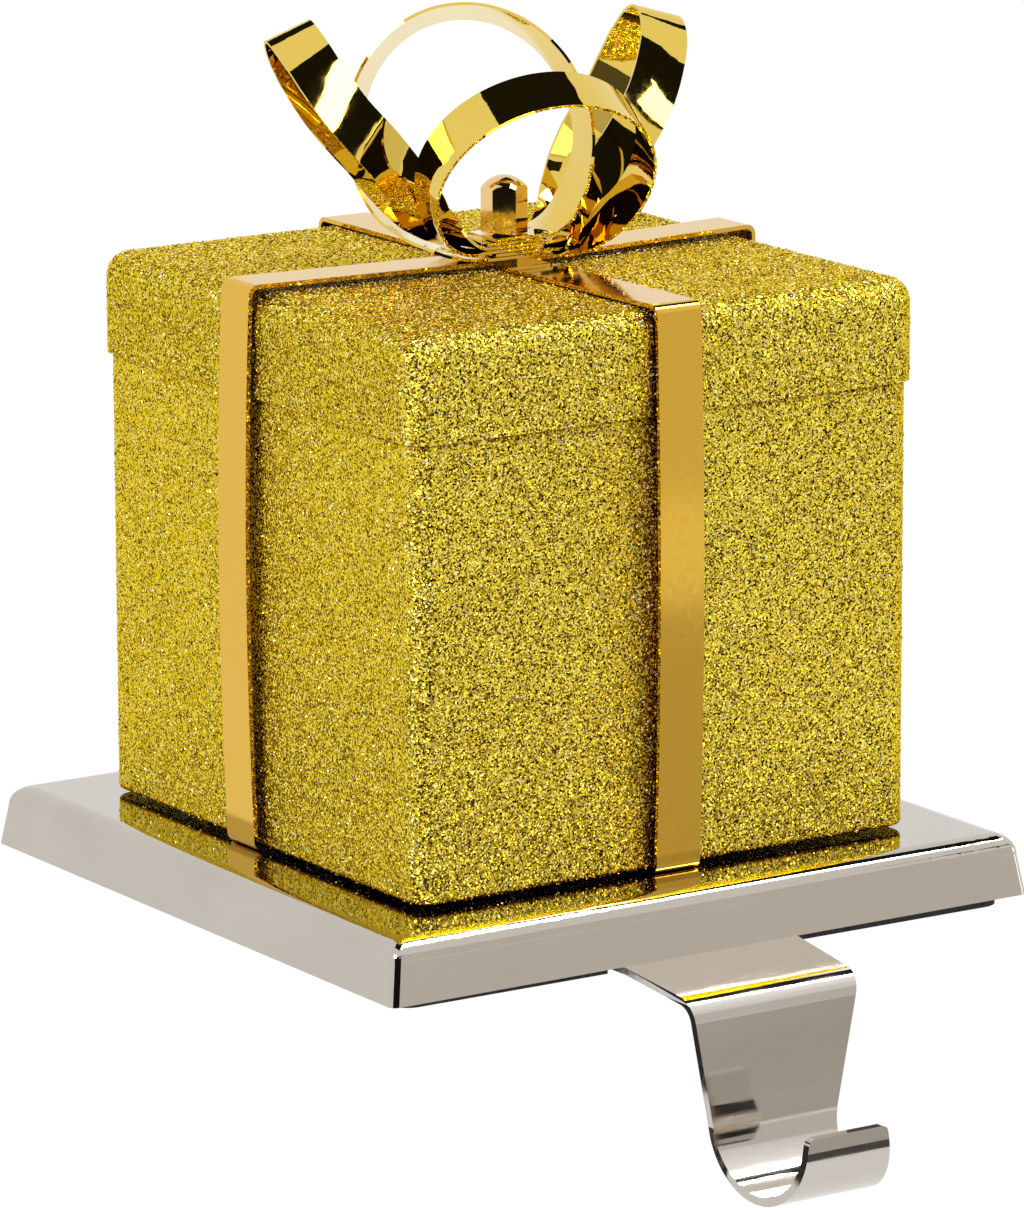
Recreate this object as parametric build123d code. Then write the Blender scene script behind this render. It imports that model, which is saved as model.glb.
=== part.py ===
from build123d import *
import math
import os

# Mantel stocking holder: a glitter gift box tied with metal ribbon on a heavy chrome base.
# Sizes in mm. The underside of the pad is z = 0 and the hook hangs over the front edge at -Y.

# Base plate
base_side = 102.8
base_thick = 8.4
base_draft = 9.0
base_edge_r = 2.8
base_corner_r = 1.1
# Pad under the base
pad_thick = 1.6
pad_inset = 3.0
pad_corner_r = 3.0
pad_shift = 1.2
pad_turn = -0.8
slot_clear = 0.4
# Flat metal strip: one width for the ribbons and the bow, thinner for the bow
strip_w = 7.0
ribbon_t = 0.6
strip_t = 0.42
# Gift box and lid
box_side = 79.4
box_height = 75.2
box_wall = 0.8
box_corner_r = 3.0
box_foot_r = 0.6
rim_flange = 6.0
lid_wall = 0.6
lid_gap = 0.15
lid_depth = 14.0
lid_edge_r = 3.4
# Ribbons
ribbon_stand = 0.2
ribbon_belly = 0.9
ribbon_bend_r = 0.9
ribbon_tab = 12.0
side_ribbon = dict(lift=0.8, turns=(-3.4, 4.2))
front_ribbon = dict(lift=0.3, turns=(0.6, 0.6))
crown_half = 4.5
# Tie rod, its nuts and the washer
rod_d = 3.0
rod_clear = 0.2
nut_flats = 5.5
nut_height = 2.4
nut_turn = 27.0
cap_height = 7.9
cap_shoulder = 5.9
cap_bore = 6.0
washer_d = 7.0
washer_t = 0.5
pocket_clear = 1.0
rod_tail = 0.6
rod_end_gap = 0.3
# Hook strap
strap_t = 1.2
strap_x = -1.2
tang_w = 28.0
tang_reach = 34.0
shelf_reach = 15.0
shelf_drop = 1.5
shoulder_w = 26.6
shoulder_r = 2.0
throat_w = 15.2
hook_drop = 26.3
neck_w = 20.0
tip_w = 12.4
tip_rise = 1.9
tip_r = 1.0
# Countersunk screws that hold the strap
screw_d = 3.0
screw_pitch = 16.0
screw_setback = 20.0
screw_len = 5.5
screw_end_gap = 0.7
recess_w = 0.8
recess_l = 2.6
recess_depth = 0.7
# Bow: one strip curled into two rings and one folded into two loops, laid under the nut in turns
layer_gap = 0.1
clamp_half = 3.6
clamp_lead = 1.2
loop_sections = 40
ring_strip_layers = (0, 2, 5)
loop_strip_layers = (1, 3, 4)
left_loop = dict(
    heading=170.0, rise=44.7, roll=94.0, twist=-8.0, skew=25.0,
    length=44.0, belly=3.4, sag=-3.8, arch=0.0,
)
right_loop = dict(
    heading=5.0, rise=48.0, roll=78.0, twist=12.0, skew=25.0,
    length=39.4, belly=6.5, sag=5.2, arch=2.5,
)
front_ring = dict(
    turn=-7.7, lean=29.1, tilt=-6.6, flare=-2.2,
    half_w=16.2, half_h=14.2, foot=(-1.6, -2.4, 0.2),
)
back_ring = dict(
    turn=-30.9, lean=-5.7, tilt=16.0, flare=19.7,
    half_w=15.4, half_h=16.8, foot=(0.0, 0.0, 0.2),
)

# Levels and positions that follow from the sizes above
z_base = pad_thick
z_plate = z_base + base_thick
z_box = z_plate + ribbon_t
z_rim = z_box + box_height
z_lid = z_rim + lid_wall
z_crown = z_lid + ribbon_t
z_bow = z_crown + ribbon_t
layer = strip_t + layer_gap
bow_stack = layer * len(ring_strip_layers + loop_strip_layers)
z_loops = z_bow + bow_stack / 2
z_nut = z_bow + bow_stack
lid_side = box_side + 2 * (lid_gap + lid_wall)
lid_corner_r = box_corner_r + lid_gap + lid_wall
rod_hole_r = rod_d / 2 + rod_clear
pocket_depth = rod_tail + nut_height + washer_t
tang_back = tang_reach - base_side / 2
screw_y = screw_setback - base_side / 2
screw_xs = (strap_x - screw_pitch / 2, strap_x + screw_pitch / 2)
head_r = screw_d / 2 + strap_t
on_floor = (Align.CENTER, Align.CENTER, Align.MIN)


def post(radius, low, high):
    return Pos(0, 0, low) * Cylinder(radius, high - low, align=on_floor)


def block(side, corner_r, low, high):
    return Pos(0, 0, low) * extrude(RectangleRounded(side, side, corner_r), high - low)


def top_edges(part):
    return part.faces().sort_by(Axis.Z)[-1].edges()


# Base plate: drafted wall and rounded top edge, pocket and tapped holes underneath
def base_plate():
    wall = base_thick - base_edge_r
    side = base_side - 2 * wall * math.tan(math.radians(base_draft))
    levels = [(side, wall)]
    for step in range(1, 7):
        angle = math.radians(15.0 * step)
        inset = base_edge_r * (1 - math.cos(angle))
        levels.append((side - 2 * inset, wall + base_edge_r * math.sin(angle)))
    outline = [Pos(0, 0, z_base) * RectangleRounded(base_side, base_side, base_corner_r)]
    for width, height in levels:
        outline.append(Pos(0, 0, z_base + height) * RectangleRounded(width, width, base_corner_r))
    plate = loft(outline[:2], ruled=True) + loft(outline[1:])
    plate -= post(rod_hole_r, z_base, z_plate)
    plate -= post(washer_d / 2 + pocket_clear, z_base, z_base + pocket_depth)
    for x in screw_xs:
        plate -= Pos(x, screw_y, 0) * post(screw_d / 2, z_base, z_base + screw_len + screw_end_gap)
    return plate


# Pad with a slot that lets the strap lie against the base
def base_pad():
    pad = block(base_side - 2 * pad_inset, pad_corner_r, 0, pad_thick)
    pad = Pos(pad_shift, 0, 0) * Rot(0, 0, pad_turn) * pad
    front = -base_side / 2
    back = tang_back + slot_clear
    slot = Box(tang_w + 2 * slot_clear, back - front, 3 * pad_thick)
    return pad - Pos(strap_x, (front + back) / 2, 0) * slot


# Side profile of a bent strip: an open line thickened to both sides, bent at the given corners
def bent_profile(plane, lines, corners, bend_r, thick):
    with BuildSketch(plane) as profile:
        with BuildLine() as path:
            add(lines)
            for x, y in corners:
                fillet(path.vertices().sort_by_distance((x, y, 0))[0], bend_r)
            offset(amount=thick / 2, side=Side.BOTH)
        make_face()
    return profile.sketch


# Hook strap: flat tang, shelf, tapered drop and a curl whose sections narrow to the tip
def hook_strap():
    mid = strap_t / 2
    y_edge = -base_side / 2
    y_drop = y_edge - shelf_reach
    y_mid = y_drop + mid
    z_tang = z_base - mid
    z_shelf = z_tang - shelf_drop
    curl_r = throat_w / 2 + mid
    z_curl = -hook_drop + mid + curl_r
    lines = [
        Line((tang_back, z_tang), (y_edge, z_tang)),
        Line((y_edge, z_tang), (y_mid, z_shelf)),
        Line((y_mid, z_shelf), (y_mid, z_curl)),
    ]
    side = bent_profile(Plane.YZ, lines, [(y_mid, z_shelf)], shoulder_r + mid, strap_t)
    strap = extrude(side, amount=tang_w, both=True)
    plan = Polyline(
        (tang_w / 2, tang_back), (tang_w / 2, y_edge),
        (shoulder_w / 2, y_drop), (-shoulder_w / 2, y_drop),
        (-tang_w / 2, y_edge), (-tang_w / 2, tang_back),
        close=True,
    )
    front = Polyline(
        (tang_w / 2, z_base), (shoulder_w / 2, z_shelf), (neck_w / 2, z_curl),
        (-neck_w / 2, z_curl), (-shoulder_w / 2, z_shelf), (-tang_w / 2, z_base),
        close=True,
    )
    strap &= extrude(make_face(plan), amount=4 * hook_drop, both=True)
    strap &= extrude(Plane.XZ * make_face(front), amount=4 * base_side, both=True)
    sections = []
    for step in range(0, 13):
        angle = math.radians(15.0 * step)
        width = neck_w + (tip_w - neck_w) * step / 13
        centre = (0, y_mid - curl_r * (1 - math.cos(angle)), z_curl - curl_r * math.sin(angle))
        along = (0, -math.sin(angle), -math.cos(angle))
        sections.append(Plane(centre, x_dir=(1, 0, 0), z_dir=along) * Rectangle(width, strap_t))
    tip_base = sections[-1]
    tip_top = Pos(0, 0, tip_rise) * Plane(
        (0, y_mid - 2 * curl_r, z_curl), x_dir=(1, 0, 0), z_dir=(0, 0, 1)
    ) * Rectangle(tip_w, strap_t)
    strap += loft(sections)
    strap += loft([tip_base, tip_top], ruled=True)
    z_tip = z_curl + tip_rise
    tip_corners = strap.edges().filter_by(Axis.Y).filter_by_position(Axis.Z, z_tip - 0.01, z_tip + 0.01)
    strap = fillet(tip_corners, tip_r)
    strap = Pos(strap_x, 0, 0) * strap
    for x in screw_xs:
        strap -= Pos(x, screw_y, 0) * sink(0)
    return strap


# Countersunk shape shared by the strap holes and the screw heads
def sink(shrink):
    return Pos(0, 0, z_base - strap_t / 2) * Cone(head_r - shrink, screw_d / 2 - shrink, strap_t)


def strap_screw(x):
    screw = sink(0) + post(screw_d / 2, z_base, z_base + screw_len)
    low = z_base - strap_t
    slot = Box(recess_l, recess_w, 2 * recess_depth) + Box(recess_w, recess_l, 2 * recess_depth)
    screw -= Pos(0, 0, low) * slot
    return Pos(x, screw_y, 0) * screw


# Box body: thin shell with a rim rolled inward to carry the lid
def box_body():
    edge_r = lid_edge_r - lid_wall - lid_gap
    shell = block(box_side, box_corner_r, z_box, z_rim)
    shell = fillet(top_edges(shell), edge_r)
    shell = fillet(shell.faces().sort_by(Axis.Z)[0].edges(), box_foot_r)
    room = block(box_side - 2 * box_wall, box_corner_r - box_wall, z_box + box_wall, z_rim - box_wall)
    room = fillet(top_edges(room), edge_r - box_wall)
    mouth = block(box_side - 2 * (rim_flange + box_wall), box_corner_r, z_rim - 2 * box_wall, z_rim + 1)
    return shell - room - mouth - post(rod_hole_r, z_box, z_box + box_wall)


def box_lid():
    low = z_lid - lid_depth
    shell = fillet(top_edges(block(lid_side, lid_corner_r, low, z_lid)), lid_edge_r)
    room = block(lid_side - 2 * lid_wall, lid_corner_r - lid_wall, low, z_rim)
    room = fillet(top_edges(room), lid_edge_r - lid_wall)
    return shell - room - post(rod_hole_r, z_rim, z_lid)


# Ribbon round the box: tabs under the box, up both sides and over the lid.
# It clears the lid's edges by its lift, and each half is cut at a slight angle of its own to the box.
def ribbon(z_centre, lift, turns):
    mid = ribbon_t / 2
    x_tab = box_side / 2 - ribbon_tab
    x_side = lid_side / 2 + ribbon_stand + mid
    z_tab = z_plate + mid
    z_edge = z_lid + lift + mid
    z_half = (z_tab + z_edge) / 2
    lines = [Line((-crown_half, z_centre + mid), (crown_half, z_centre + mid))]
    for way in (-1, 1):
        lines.append(Line((way * x_tab, z_tab), (way * x_side, z_tab)))
        belly = (way * (x_side + ribbon_belly), z_half)
        lines.append(ThreePointArc((way * x_side, z_tab), belly, (way * x_side, z_edge)))
        lines.append(Line((way * x_side, z_edge), (way * crown_half, z_centre + mid)))
    corners = [(way * x_side, z) for way in (-1, 1) for z in (z_tab, z_edge)]
    side = bent_profile(Plane.XZ, lines, corners, ribbon_bend_r + mid, ribbon_t)
    band = extrude(side, amount=2 * strip_w, both=True)
    outline = post(strip_w / 2, z_lid, z_nut)
    for way, turn in zip((-1, 1), turns):
        outline += Rot(0, 0, turn) * Pos(way * lid_side / 2, 0, 0) * Box(lid_side, strip_w, 4 * z_lid)
    band &= outline
    return band - post(rod_hole_r, z_lid, z_nut)


# A bow loop that comes to a point at the clamp, as strip centres and width directions.
# Roll turns the loop about its own length, from standing upright to facing sideways.
# Twist turns its two strands apart and skew slants the fold at the far end.
# Sag and arch bow both strands, along the strip's width and its face.
def drop_loop(heading, rise, roll, twist, skew, length, belly, sag, arch, hand):
    head, up, turn = (math.radians(a) for a in (heading, rise, roll))
    along = Vector(math.cos(up) * math.cos(head), math.cos(up) * math.sin(head), math.sin(up))
    flat = Vector(math.sin(head), -math.cos(head), 0) * hand
    over = along.cross(flat)
    across = flat * math.cos(turn) + over * math.sin(turn)
    out = along.cross(across)
    stations = []
    for step in range(4, 13):
        angle = math.pi * step / 8
        reach = length * (1 - math.cos(angle)) / 2
        swell = belly * math.sin(angle) * math.sin(angle / 2) ** 0.5 * 1.25
        bow = (across * sag + out * arch) * math.sin(angle) ** 2
        lean = math.radians(twist) * math.sin(angle)
        centre = Vector(0, 0, z_loops) + along * reach + out * swell + bow
        slant = hand * math.radians(skew) * math.sin(angle / 2) ** 6
        width = across * math.cos(lean) + out * math.sin(lean)
        stations.append((centre, width * math.cos(slant) + along * math.sin(slant)))
    return stations


# A bow ring standing on the clamp, as strip centres and width directions.
def ring_loop(turn, lean, tilt, half_w, half_h, flare, foot):
    yaw, back, skew, open_a = (math.radians(a) for a in (turn, lean, tilt, flare))
    right = Vector(math.cos(yaw), math.sin(yaw), 0)
    away = Vector(-math.sin(yaw), math.cos(yaw), 0)
    up = Vector(0, 0, math.cos(back)) - away * math.sin(back)
    near = (away * math.cos(back) + Vector(0, 0, math.sin(back))) * -1
    across = right * math.cos(skew) + up * math.sin(skew)
    top = up * math.cos(skew) - right * math.sin(skew)
    stations = []
    for step in range(-5, 6):
        angle = math.radians(23.0 * step)
        centre = Vector(0, 0, z_bow) + Vector(*foot) + top * half_h
        centre += across * (half_w * math.sin(angle)) + top * (half_h * math.cos(angle))
        radial = across * math.sin(angle) + top * math.cos(angle)
        stations.append((centre, near * math.cos(open_a) + radial * math.sin(open_a)))
    return stations


# Underside of one layer of the bow under the nut
def layer_low(number):
    return z_bow + layer * number


# Flat lengths of one strip, one for each pass under the nut
def clamp_pads(layers):
    flat = Box(2 * clamp_half, strip_w, strip_t, align=on_floor)
    return [Pos(0, 0, layer_low(number)) * flat for number in layers]


# Thin sections set square to the path, turned from station to station.
# Each loop leaves the clamp to one side in one layer and comes back in another.
def strip_planes(stations, leave, come_back):
    front = Vector(0, -1, 0)
    out_way, out_layer = leave
    in_way, in_layer = come_back
    out_z = layer_low(out_layer) + strip_t / 2
    in_z = layer_low(in_layer) + strip_t / 2
    reaches = (clamp_half, clamp_half + clamp_lead / 2, clamp_half + clamp_lead)
    first = [(Vector(out_way * x, 0, out_z), front) for x in reaches]
    final = [(Vector(in_way * x, 0, in_z), front) for x in reversed(reaches)]
    stops = first + stations + final
    path = Spline(*[centre for centre, _ in stops])
    marks = [path.param_at_point(centre) for centre, _ in stops]
    planes = [Plane(centre, x_dir=front, z_dir=(out_way, 0, 0)) for centre, _ in first]
    for k in range(1, loop_sections):
        u = marks[2] + (marks[-3] - marks[2]) * k / loop_sections
        i = max(j for j in range(len(stops) - 1) if marks[j] <= u)
        part = (u - marks[i]) / (marks[i + 1] - marks[i])
        across = stops[i][1] * (1 - part) + stops[i + 1][1] * part
        planes.append(Plane(path @ u, x_dir=across, z_dir=path % u))
    planes += [Plane(centre, x_dir=front, z_dir=(-in_way, 0, 0)) for centre, _ in final]
    return planes


def bent_strip(planes):
    return loft([plane * Rectangle(strip_w, strip_t) for plane in planes])


def bow_strip(layers, loops):
    strip, second, third = clamp_pads(layers)
    strip += second + third
    for planes in loops:
        strip += bent_strip(planes)
    return strip - post(rod_hole_r, z_bow, z_nut)


# The front ring comes in at the bottom of the stack and the back ring laps over the top of it
def ring_strip():
    low, mid, top = ring_strip_layers
    front = strip_planes(ring_loop(**front_ring), (-1, mid), (1, low))
    back = strip_planes(ring_loop(**back_ring), (-1, low), (1, top))
    return bow_strip(ring_strip_layers, (front, back))


def loop_strip():
    low, mid, top = loop_strip_layers
    left = strip_planes(drop_loop(**left_loop, hand=-1), (-1, top), (-1, mid))
    right = strip_planes(drop_loop(**right_loop, hand=1), (1, mid), (1, low))
    return bow_strip(loop_strip_layers, (left, right))


def hexagon(flats):
    return RegularPolygon(flats / 2, 6, major_radius=False)


# Domed hexagon nut on top of the bow
def cap_nut():
    dome_r = 0.6 * nut_flats
    crown = TangentArc((0, cap_height), (dome_r, cap_shoulder), tangent=(1, 0))
    half = Polyline((0, cap_height), (0, 0), (dome_r, 0), (dome_r, cap_shoulder)) + crown
    dome = revolve(Plane.XZ * make_face(half), axis=Axis.Z)
    nut = extrude(hexagon(nut_flats), cap_height) & dome
    nut -= post(rod_d / 2, 0, cap_bore)
    return Pos(0, 0, z_nut) * Rot(0, 0, nut_turn) * nut


def base_nut():
    nut = extrude(hexagon(nut_flats), nut_height) - post(rod_d / 2, 0, nut_height)
    return Pos(0, 0, z_base + rod_tail) * nut


def base_washer():
    low = z_base + rod_tail + nut_height
    return post(washer_d / 2, low, low + washer_t) - post(rod_hole_r, low, low + washer_t)


def tie_rod():
    return post(rod_d / 2, z_base + rod_end_gap, z_nut + cap_bore - rod_end_gap)


pieces = {
    "base_plate": base_plate,
    "base_pad": base_pad,
    "hook_strap": hook_strap,
    "strap_screw_left": lambda: strap_screw(screw_xs[0]),
    "strap_screw_right": lambda: strap_screw(screw_xs[1]),
    "box_body": box_body,
    "box_lid": box_lid,
    "ribbon_side_to_side": lambda: ribbon(z_crown, **side_ribbon),
    "ribbon_front_to_back": lambda: Rot(0, 0, 90) * ribbon(z_lid, **front_ribbon),
    "bow_ring_strip": ring_strip,
    "bow_loop_strip": loop_strip,
    "tie_rod": tie_rod,
    "cap_nut": cap_nut,
    "base_nut": base_nut,
    "base_washer": base_washer,
}

os.makedirs("parts", exist_ok=True)
for name, make in pieces.items():
    solid = make()
    print(name, round(solid.volume, 1), len(solid.solids()), solid.is_valid)
    export_step(solid, os.path.join("parts", name + ".step"))
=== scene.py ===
import math
import random

import bpy
from mathutils import Matrix, Vector
from mathutils.bvhtree import BVHTree


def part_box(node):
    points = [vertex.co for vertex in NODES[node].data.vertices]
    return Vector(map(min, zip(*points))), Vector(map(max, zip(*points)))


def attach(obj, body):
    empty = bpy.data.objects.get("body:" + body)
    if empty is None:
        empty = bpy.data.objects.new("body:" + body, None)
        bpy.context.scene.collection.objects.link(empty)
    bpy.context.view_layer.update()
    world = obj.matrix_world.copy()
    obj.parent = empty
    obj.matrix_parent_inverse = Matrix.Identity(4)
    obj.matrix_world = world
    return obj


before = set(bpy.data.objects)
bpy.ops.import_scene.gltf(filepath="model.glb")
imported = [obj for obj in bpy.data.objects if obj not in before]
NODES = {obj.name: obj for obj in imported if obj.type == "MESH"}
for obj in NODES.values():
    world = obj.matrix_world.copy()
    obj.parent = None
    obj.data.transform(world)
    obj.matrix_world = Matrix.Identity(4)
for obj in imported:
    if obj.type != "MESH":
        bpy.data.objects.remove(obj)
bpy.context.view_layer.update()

MM = 0.001

# The photograph's view, for an image 1208 pixels high. Azimuth and elevation are in degrees,
# roll and dip in radians, distance and target in metres.
IMAGE_HEIGHT = 1208
FOCAL_PX = 7731.0
SENSOR_MM = 36.0
VIEW_AZIMUTH = -33.31
VIEW_ELEVATION = 12.64
VIEW_DISTANCE = 1.0593
VIEW_TARGET = Vector((0.00109, 0.0, 0.04418))
VIEW_ROLL = -0.003
VIEW_DIP = 0.00494

# Each metal: the two tones that drift into each other, the range of its roughness, the depth in mm
# and the scale of its waviness and, where they aren't the usual ones, its clouds' scale and stretch
CHROME = dict(
    tones=((0.52, 0.475, 0.415), (0.545, 0.50, 0.44)),
    gloss=(0.03, 0.07), wave=(0.02, 60.0),
)
STRAP = dict(
    tones=((0.52, 0.475, 0.43), (0.57, 0.53, 0.485)),
    gloss=(0.04, 0.12), wave=(0.02, 80.0), stretch=(0.15, 1.0, 1.0),
)
STEEL = dict(
    tones=((0.50, 0.50, 0.50), (0.58, 0.58, 0.58)),
    gloss=(0.25, 0.4), wave=(0.02, 300.0),
)
RIBBON = dict(
    tones=((0.72, 0.435, 0.05), (0.76, 0.465, 0.065)),
    gloss=(0.06, 0.11), wave=(0.01, 150.0), cloud_scale=3500.0,
)
BOW = dict(
    tones=((0.75, 0.535, 0.095), (0.79, 0.565, 0.11)),
    gloss=(0.015, 0.035), wave=(0.01, 90.0),
)
NUT = dict(
    tones=((0.78, 0.53, 0.22), (0.82, 0.57, 0.25)),
    gloss=(0.04, 0.08), wave=(0.01, 300.0),
)
# The usual noise: clouds for the tones, fine grain for the roughness, and the waviness
CLOUD_SCALE = 90.0
CLOUD_DETAIL = 4.0
CLOUD_RANGE = (0.35, 0.65)
FINE_SCALE = 900.0
FINE_DETAIL = 5.0
FINE_RANGE = (0.3, 0.7)
WAVE_DETAIL = 2.0
# Lean of the shading normals on the back of the ring strip, full from this far behind the middle
RING_LEAN = (0.095, 0.145, 0.0)
RING_LEAN_FROM_MM = 2.0
# Painted highlight: the paler colour of the strap where it faces up, standing in for the light its top
# catches, and the rise of the normal over which it comes in
STRAP_PAINTED_TOP_LIGHT = (0.92, 0.86, 0.79)
STRAP_PAINTED_TOP_LIGHT_RANGE = (0.4, 0.9)

# Glitter on the box and its lid: golds of the flakes, painted shade close to another piece (ambient occlusion
# darkens the colour), size and tilt of a flake, and its dark rim in shares of its size
FLAKE_STOPS = (
    (0.0, (0.05, 0.02, 0.003)),
    (0.21, (0.28, 0.15, 0.01)),
    (0.34, (0.96, 0.68, 0.035)),
    (0.85, (1.0, 0.81, 0.085)),
    (1.0, (1.0, 0.95, 0.42)),
)
PAINTED_SHADE_STOPS = (
    (0.4, (0.08, 0.035, 0.008)),
    (0.58, (0.30, 0.17, 0.05)),
    (0.76, (0.80, 0.69, 0.52)),
    (0.92, (1.0, 1.0, 1.0)),
)
FLAKE_EDGE = (1.0, 0.82, 0.22)
FLAKE_MM = 0.22
FLAKE_TILT = 1.0
FLAKE_GLOSS = (0.12, 0.34)
RIM_SHADE = 0.2
RIM_WIDTH = 0.09
SHADE_MM = 2.4
SHADE_SAMPLES = 16
CELL_MIDDLE = (0.5, 0.5, 0.5)

# Loose flakes: tilt in degrees, clearance in half widths, and density in flakes to the square millimetre,
# on faces whose normal rises more than TOP_RISE and on the rest
LOOSE_STOPS = (
    (0.0, (0.84, 0.56, 0.04)),
    (0.4, (1.0, 0.77, 0.12)),
    (0.85, (1.0, 0.89, 0.32)),
    (1.0, (1.0, 0.97, 0.68)),
)
LOOSE_GLOSS = (0.3, 0.12)
LOOSE_METALLIC = 0.4
LOOSE_HALF_MM = 0.11
LOOSE_SPREAD = (0.7, 1.2)
LOOSE_TILT = (5.0, 38.0)
LOOSE_LIFT_MM = 0.01
LOOSE_CLEARANCE = 2.5
LOOSE_CORNERS = ((-1, -1), (1, -1), (1, 1), (-1, 1))
TOP_DENSITY = 5.0
SIDE_DENSITY = 1.2
TOP_RISE = 0.5

# Foam of the pad
FOAM_STOPS = ((0.3, (0.012, 0.012, 0.014)), (0.7, (0.05, 0.05, 0.055)))
FOAM_SCALE = 1800.0
FOAM_DETAIL = 4.0
FOAM_GRAIN_MM = 0.15
FOAM_ROUGHNESS = 0.9

# The studio: lamps and cards are placed by bearing from the middle of the object. The floor lies
# far below the base, because the hook hangs under it.
STUDIO_MIDDLE = Vector((0.0, 0.0, 0.06))
AMBIENT = 0.55
FLOOR_Z = -0.6
FLOOR_SIDE = 30.0
FLOOR_TONE = 0.85
FLOOR_ROUGHNESS = 0.8
FLOOR_GLOW = 1.06
FLOOR_GLOW_SHARE = 0.9
# Name, azimuth, elevation, distance, width, height, watts, spin: in degrees and metres
LAMPS = (
    ("key", -58.0, 34.0, 1.7, 0.9, 0.6, 16.5, 0.0),
    ("fill", 60.0, 60.0, 1.6, 0.7, 0.5, 18.0, 0.0),
    ("softbox_right", 21.4, 11.9, 1.8, 0.09, 0.06, 0.14, -39.0),
    ("softbox_left", 11.2, 20.3, 1.8, 0.09, 0.06, 0.11, 0.0),
)
# Name, azimuth, elevation, distance, width, height, colour: in degrees and metres
CARDS = (
    ("camera_side", -15.0, 5.5, 2.0, 3.6, 1.84, (0.01, 0.01, 0.01)),
    ("camera_gap", 4.0, 17.3, 1.75, 0.29, 0.23, (1.0, 0.98, 0.95)),
    ("ceiling", 110.0, 76.0, 2.0, 1.75, 2.1, (0.012, 0.012, 0.01)),
    ("right_wall", 45.0, 4.0, 2.1, 1.25, 1.1, (0.80, 0.775, 0.735)),
    ("right_panel", 55.0, 6.0, 2.05, 0.50, 0.72, (2.2, 2.15, 2.05)),
    ("right_dark", 52.5, 28.0, 1.9, 0.53, 0.33, (0.02, 0.02, 0.02)),
    ("hook_flag", -107.0, -52.6, 0.127, 0.06, 0.06, (0.04, 0.04, 0.04)),
    ("floor_grey", 35.0, -19.0, 1.6, 0.9, 0.32, (0.60, 0.575, 0.53)),
    ("floor_dark", 40.0, -26.5, 1.0, 0.5, 0.16, (0.10, 0.095, 0.09)),
)


# A material and the nodes that feed it
class Shader:
    def __init__(self, name):
        self.material = bpy.data.materials.new(name)
        self.material.use_nodes = True
        self.tree = self.material.node_tree
        self.main = self.tree.nodes["Principled BSDF"]

    def add(self, kind, **settings):
        node = self.tree.nodes.new(kind)
        for key, value in settings.items():
            setattr(node, key, value)
        return node

    def link(self, source, target):
        self.tree.links.new(source, target)

    # Values and links for the main shader, named as its sockets with _ for a space
    def set(self, **values):
        for key, value in values.items():
            self.main.inputs[key.replace("_", " ")].default_value = value

    def feed(self, **sources):
        for key, source in sources.items():
            self.link(source, self.main.inputs[key.replace("_", " ")])

    def coords(self, stretch=(1.0, 1.0, 1.0)):
        place = self.add("ShaderNodeTexCoord")
        mapping = self.add("ShaderNodeMapping")
        mapping.inputs["Scale"].default_value = stretch
        self.link(place.outputs["Object"], mapping.inputs["Vector"])
        return mapping.outputs["Vector"]

    def normal(self):
        return self.add("ShaderNodeNewGeometry").outputs["Normal"]

    def part(self, vector, axis):
        parts = self.add("ShaderNodeSeparateXYZ")
        self.link(vector, parts.inputs["Vector"])
        return parts.outputs[axis]

    def noise(self, scale, detail, stretch=(1.0, 1.0, 1.0)):
        node = self.add("ShaderNodeTexNoise")
        node.inputs["Scale"].default_value = scale
        node.inputs["Detail"].default_value = detail
        self.link(self.coords(stretch), node.inputs["Vector"])
        return node.outputs["Fac"]

    def cells(self, size_mm, feature="F1"):
        node = self.add("ShaderNodeTexVoronoi", feature=feature)
        node.inputs["Scale"].default_value = 1.0 / (size_mm * MM)
        self.link(self.coords(), node.inputs["Vector"])
        return node

    def ramp(self, source, stops):
        node = self.add("ShaderNodeValToRGB")
        elements = node.color_ramp.elements
        while len(elements) < len(stops):
            elements.new(0.5)
        for element, (place, colour) in zip(elements, stops):
            element.position = place
            element.color = (*colour, 1.0)
        self.link(source, node.inputs["Fac"])
        return node.outputs["Color"]

    def span(self, source, low, high, start=0.0, end=1.0):
        node = self.add("ShaderNodeMapRange")
        node.inputs["From Min"].default_value = start
        node.inputs["From Max"].default_value = end
        node.inputs["To Min"].default_value = low
        node.inputs["To Max"].default_value = high
        self.link(source, node.inputs["Value"])
        return node.outputs["Result"]

    def bump(self, source, height_mm):
        node = self.add("ShaderNodeBump")
        node.inputs["Distance"].default_value = height_mm * MM
        self.link(source, node.inputs["Height"])
        return node.outputs["Normal"]

    def tilted(self, normal, lean):
        total = self.add("ShaderNodeVectorMath", operation="ADD")
        self.link(normal, total.inputs[0])
        self.link(lean, total.inputs[1])
        unit = self.add("ShaderNodeVectorMath", operation="NORMALIZE")
        self.link(total.outputs["Vector"], unit.inputs[0])
        return unit.outputs["Vector"]

    def times(self, first, second):
        node = self.add("ShaderNodeMix", data_type="RGBA", blend_type="MULTIPLY")
        node.inputs["Factor"].default_value = 1.0
        self.link(first, node.inputs["A"])
        self.link(second, node.inputs["B"])
        return node.outputs["Result"]

    def toward(self, amount, source, colour):
        node = self.add("ShaderNodeMix", data_type="RGBA")
        node.inputs["B"].default_value = (*colour, 1.0)
        self.link(amount, node.inputs["Factor"])
        self.link(source, node.inputs["A"])
        return node.outputs["Result"]
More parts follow.
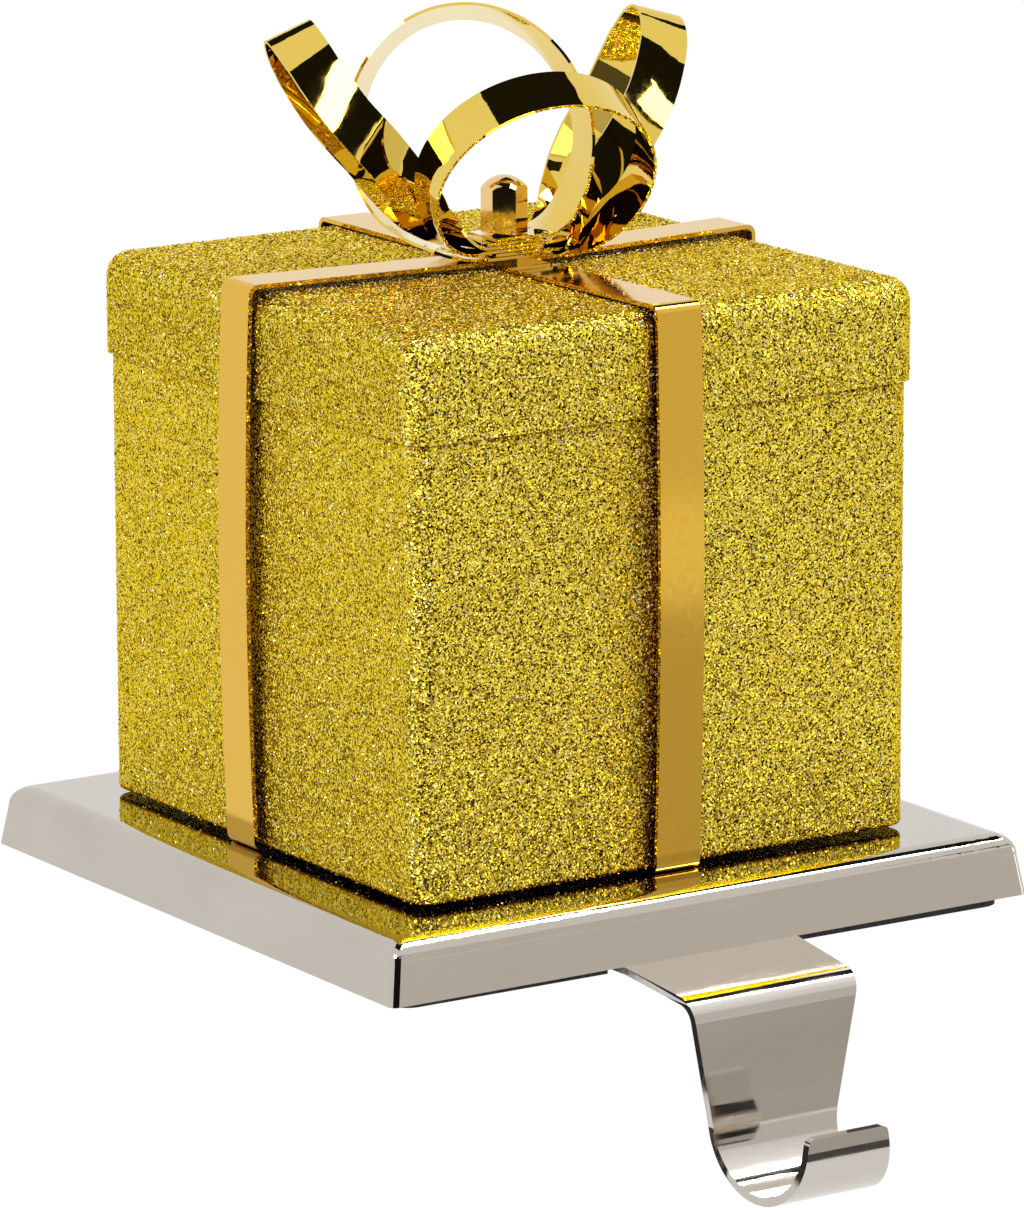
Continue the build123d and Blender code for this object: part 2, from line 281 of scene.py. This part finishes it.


# Glitter: flakes as small tilted mirrors of differing gold with dark gaps between them,
# and painted brown shade where another piece stands close over the surface
def glitter(name):
    mat = Shader(name)
    flakes = mat.cells(FLAKE_MM).outputs["Color"]
    rims = mat.cells(FLAKE_MM, "DISTANCE_TO_EDGE").outputs["Distance"]
    parts = mat.add("ShaderNodeSeparateColor")
    mat.link(flakes, parts.inputs["Color"])
    painted_shade_ao = mat.add("ShaderNodeAmbientOcclusion", samples=SHADE_SAMPLES)
    painted_shade_ao.inputs["Distance"].default_value = SHADE_MM * MM
    tint = mat.ramp(parts.outputs["Red"], FLAKE_STOPS)
    tint = mat.times(tint, mat.span(rims, RIM_SHADE, 1.0, 0.0, RIM_WIDTH))
    # Painted shade: ambient occlusion darkens the flake colour next to other pieces
    tint = mat.times(tint, mat.ramp(painted_shade_ao.outputs["AO"], PAINTED_SHADE_STOPS))
    shift = mat.add("ShaderNodeVectorMath", operation="SUBTRACT")
    shift.inputs[1].default_value = CELL_MIDDLE
    mat.link(flakes, shift.inputs[0])
    lean = mat.add("ShaderNodeVectorMath", operation="SCALE")
    lean.inputs["Scale"].default_value = FLAKE_TILT
    mat.link(shift.outputs["Vector"], lean.inputs[0])
    mat.feed(
        Base_Color=tint,
        Normal=mat.tilted(mat.normal(), lean.outputs["Vector"]),
        Roughness=mat.span(parts.outputs["Green"], *FLAKE_GLOSS),
    )
    mat.set(Metallic=1.0, Specular_Tint=(*FLAKE_EDGE, 1.0))
    return mat


# The loose flakes, each of its own gold
def flake_metal(name):
    mat = Shader(name)
    chance = mat.add("ShaderNodeNewGeometry").outputs["Random Per Island"]
    mat.feed(Base_Color=mat.ramp(chance, LOOSE_STOPS), Roughness=mat.span(chance, *LOOSE_GLOSS))
    mat.set(Metallic=LOOSE_METALLIC, Specular_IOR_Level=0.0, Specular_Tint=(*FLAKE_EDGE, 1.0))
    return mat


# Polished metal: slightly cloudy colour and gloss, and a trace of waviness
def polished(name, tones, gloss, wave, cloud_scale=CLOUD_SCALE, stretch=(1.0, 1.0, 1.0)):
    mat = Shader(name)
    cloud = mat.noise(cloud_scale, CLOUD_DETAIL, stretch)
    fine = mat.noise(FINE_SCALE, FINE_DETAIL, stretch)
    wave_mm, wave_scale = wave
    mat.tint = mat.ramp(cloud, list(zip(CLOUD_RANGE, tones)))
    mat.wave = mat.bump(mat.noise(wave_scale, WAVE_DETAIL), wave_mm)
    mat.feed(Base_Color=mat.tint, Roughness=mat.span(fine, *gloss, *FINE_RANGE), Normal=mat.wave)
    mat.set(Metallic=1.0)
    return mat


# The ring strip is polished. Where it lies behind the middle, its shading normals lean a little
# toward the right and the back.
def ring_metal(name):
    mat = polished(name, **BOW)
    behind = mat.span(mat.part(mat.coords(), "Y"), 0.0, 1.0, 0.0, RING_LEAN_FROM_MM * MM)
    lean = mat.add("ShaderNodeVectorMath", operation="SCALE")
    lean.inputs[0].default_value = RING_LEAN
    mat.link(behind, lean.inputs["Scale"])
    mat.feed(Normal=mat.tilted(mat.wave, lean.outputs["Vector"]))
    return mat


# The strap is polished, with a painted highlight: paler where it faces up
def strap_metal_painted_top_light(name):
    mat = polished(name, **STRAP)
    # Painted highlight: faces that look up blend toward the paler colour
    painted_top_light = mat.span(mat.part(mat.normal(), "Z"), 0.0, 1.0, *STRAP_PAINTED_TOP_LIGHT_RANGE)
    mat.feed(Base_Color=mat.toward(painted_top_light, mat.tint, STRAP_PAINTED_TOP_LIGHT))
    return mat


def foam(name):
    mat = Shader(name)
    grain = mat.noise(FOAM_SCALE, FOAM_DETAIL)
    mat.feed(Base_Color=mat.ramp(grain, FOAM_STOPS), Normal=mat.bump(grain, FOAM_GRAIN_MM))
    mat.set(Roughness=FOAM_ROUGHNESS)
    return mat


def dress(shader, *names):
    for name in names:
        slots = NODES[name].data.materials
        slots.clear()
        slots.append(shader.material)


dress(polished("chrome", **CHROME), "base_plate")
dress(strap_metal_painted_top_light("strap_chrome_painted_light"), "hook_strap")
dress(polished("ribbon_gold", **RIBBON), "ribbon_side_to_side", "ribbon_front_to_back")
dress(ring_metal("ring_gold"), "bow_ring_strip")
dress(polished("loop_gold", **BOW), "bow_loop_strip")
dress(polished("nut_gold", **NUT), "cap_nut")
steel = polished("steel", **STEEL)
dress(steel, "strap_screw_left", "strap_screw_right", "tie_rod", "base_nut", "base_washer")
dress(glitter("glitter_body"), "box_body")
dress(glitter("glitter_lid"), "box_lid")
dress(foam("pad_foam"), "base_pad")


# All CAD nodes but one, for finding what is near a point
def neighbours(node):
    points, faces = [], []
    for name, obj in NODES.items():
        if name != node:
            start = len(points)
            points += [v.co for v in obj.data.vertices]
            faces += [[start + i for i in p.vertices] for p in obj.data.polygons]
    return BVHTree.FromPolygons(points, faces)


# Loose flakes that stand tilted on the outer faces of a CAD node, with none close to another piece
def loose_flakes(name, node, shader, top_density, side_density, seed):
    draw = random.Random(seed)
    others = neighbours(node)
    low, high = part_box("box_body")
    middle = (Vector(low) + Vector(high)) / 2
    mesh = NODES[node].data
    mesh.calc_loop_triangles()
    points, faces = [], []
    for tri in mesh.loop_triangles:
        a, b, c = (mesh.vertices[i].co for i in tri.vertices)
        normal = tri.normal.copy()
        if normal.dot((a + b + c) / 3 - middle) < 0:
            continue
        density = top_density if normal.z > TOP_RISE else side_density
        for _ in range(int(tri.area / MM**2 * density + draw.random())):
            u, v = draw.random(), draw.random()
            if u + v > 1:
                u, v = 1 - u, 1 - v
            half = LOOSE_HALF_MM * MM * draw.uniform(*LOOSE_SPREAD)
            turn = Matrix.Rotation(draw.uniform(0, 2 * math.pi), 3, normal)
            along = turn @ normal.orthogonal().normalized()
            across = normal.cross(along)
            tilt = math.radians(draw.uniform(*LOOSE_TILT))
            raised = across * math.cos(tilt) + normal * math.sin(tilt)
            lift = half * math.sin(tilt) + LOOSE_LIFT_MM * MM
            centre = a + (b - a) * u + (c - a) * v + normal * lift
            if others.find_nearest(centre, LOOSE_CLEARANCE * half)[0] is not None:
                continue
            start = len(points)
            points += [centre + (along * x + raised * y) * half for x, y in LOOSE_CORNERS]
            faces.append((start, start + 1, start + 2, start + 3))
    data = bpy.data.meshes.new(name)
    data.from_pydata(points, [], faces)
    data.materials.append(shader.material)
    obj = bpy.data.objects.new(name, data)
    bpy.context.scene.collection.objects.link(obj)
    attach(obj, "root")


# The lid covers the top of the body, so the body has loose flakes on its sides alone
flake_gold = flake_metal("flake_gold")
loose_flakes("lid_flakes", "box_lid", flake_gold, TOP_DENSITY, SIDE_DENSITY, seed=11)
loose_flakes("body_flakes", "box_body", flake_gold, 0.0, SIDE_DENSITY, seed=12)


# Bearing from the middle of the object: azimuth from the front toward the right, elevation above level
def bearing(azimuth, elevation, distance):
    turn, rise = math.radians(azimuth), math.radians(elevation)
    flat = math.cos(rise) * distance
    return STUDIO_MIDDLE + Vector((math.sin(turn) * flat, -math.cos(turn) * flat, math.sin(rise) * distance))


# Place an object with one of its axes toward the middle, and spin it about that axis
def aim(obj, place, axis, spin=0.0):
    turn = (STUDIO_MIDDLE - place).to_track_quat(axis, "Y").to_matrix()
    turn = turn @ Matrix.Rotation(math.radians(spin), 3, "Z")
    obj.matrix_world = Matrix.Translation(place) @ turn.to_4x4()


def sheet(name, width, height, material):
    x, y = width / 2, height / 2
    mesh = bpy.data.meshes.new(name)
    mesh.from_pydata([(-x, -y, 0), (x, -y, 0), (x, y, 0), (-x, y, 0)], [], [(0, 1, 2, 3)])
    mesh.materials.append(material)
    obj = bpy.data.objects.new(name, mesh)
    bpy.context.scene.collection.objects.link(obj)
    return obj


# Rays that look at the backdrop: from the camera, and by way of metal and glass
def backdrop_rays(tree):
    path = tree.nodes.new("ShaderNodeLightPath")
    rays = path.outputs["Is Camera Ray"]
    for name in ("Is Glossy Ray", "Is Transmission Ray"):
        both = tree.nodes.new("ShaderNodeMath")
        both.operation = "MAXIMUM"
        tree.links.new(rays, both.inputs[0])
        tree.links.new(path.outputs[name], both.inputs[1])
        rays = both.outputs["Value"]
    return rays


# White to backdrop rays, and dimmer as a light on the object
def surround():
    world = bpy.data.worlds.new("studio")
    bpy.context.scene.world = world
    world.use_nodes = True
    tree = world.node_tree
    tone = tree.nodes.new("ShaderNodeMix")
    tone.data_type = "RGBA"
    tone.inputs["A"].default_value = (AMBIENT, AMBIENT, AMBIENT, 1.0)
    tone.inputs["B"].default_value = (1.0, 1.0, 1.0, 1.0)
    tree.links.new(backdrop_rays(tree), tone.inputs["Factor"])
    tree.links.new(tone.outputs["Result"], tree.nodes["Background"].inputs["Color"])


def floor():
    mat = Shader("floor")
    mat.set(Base_Color=(FLOOR_TONE, FLOOR_TONE, FLOOR_TONE, 1.0), Roughness=FLOOR_ROUGHNESS)
    glow = mat.add("ShaderNodeEmission")
    glow.inputs["Strength"].default_value = FLOOR_GLOW
    mix = mat.add("ShaderNodeMixShader")
    mat.link(mat.span(backdrop_rays(mat.tree), 0.0, FLOOR_GLOW_SHARE), mix.inputs["Fac"])
    mat.link(mat.main.outputs["BSDF"], mix.inputs[1])
    mat.link(glow.outputs["Emission"], mix.inputs[2])
    mat.link(mix.outputs["Shader"], mat.tree.nodes["Material Output"].inputs["Surface"])
    sheet("floor", FLOOR_SIDE, FLOOR_SIDE, mat.material).location.z = FLOOR_Z


# A card that only mirror-like surfaces see
def card(name, azimuth, elevation, distance, width, height, tone):
    mat = Shader(name)
    glow = mat.add("ShaderNodeEmission")
    glow.inputs["Color"].default_value = (*tone, 1.0)
    mat.link(glow.outputs["Emission"], mat.tree.nodes["Material Output"].inputs["Surface"])
    obj = sheet(name, width, height, mat.material)
    aim(obj, bearing(azimuth, elevation, distance), "Z")
    obj.visible_camera = False
    obj.visible_diffuse = False
    obj.visible_shadow = False


def lamp(name, azimuth, elevation, distance, width, height, watts, spin):
    data = bpy.data.lights.new(name, "AREA")
    data.shape = "RECTANGLE"
    data.size = width
    data.size_y = height
    data.energy = watts
    obj = bpy.data.objects.new(name, data)
    aim(obj, bearing(azimuth, elevation, distance), "-Z", spin)
    bpy.context.scene.collection.objects.link(obj)


surround()
floor()
for row in LAMPS:
    lamp(*row)
for row in CARDS:
    card(*row)


def add_camera():
    azimuth, elevation = math.radians(VIEW_AZIMUTH), math.radians(VIEW_ELEVATION)
    right = Vector((math.cos(azimuth), math.sin(azimuth), 0.0))
    level = Vector((math.sin(azimuth), -math.cos(azimuth), 0.0))
    toward = level * math.cos(elevation) + Vector((0.0, 0.0, math.sin(elevation)))
    back = (toward + toward.cross(right) * VIEW_DIP).normalized()
    axes = Matrix((right, back.cross(right), back)).transposed()
    data = bpy.data.cameras.new("camera")
    data.sensor_fit = "VERTICAL"
    data.sensor_height = SENSOR_MM
    data.lens = FOCAL_PX * SENSOR_MM / IMAGE_HEIGHT
    obj = bpy.data.objects.new("camera", data)
    turn = Matrix.Rotation(VIEW_ROLL, 3, back) @ axes
    obj.matrix_world = Matrix.Translation(VIEW_TARGET + toward * VIEW_DISTANCE) @ turn.to_4x4()
    bpy.context.scene.collection.objects.link(obj)
    bpy.context.scene.camera = obj


add_camera()
bpy.context.scene.view_settings.view_transform = "Standard"
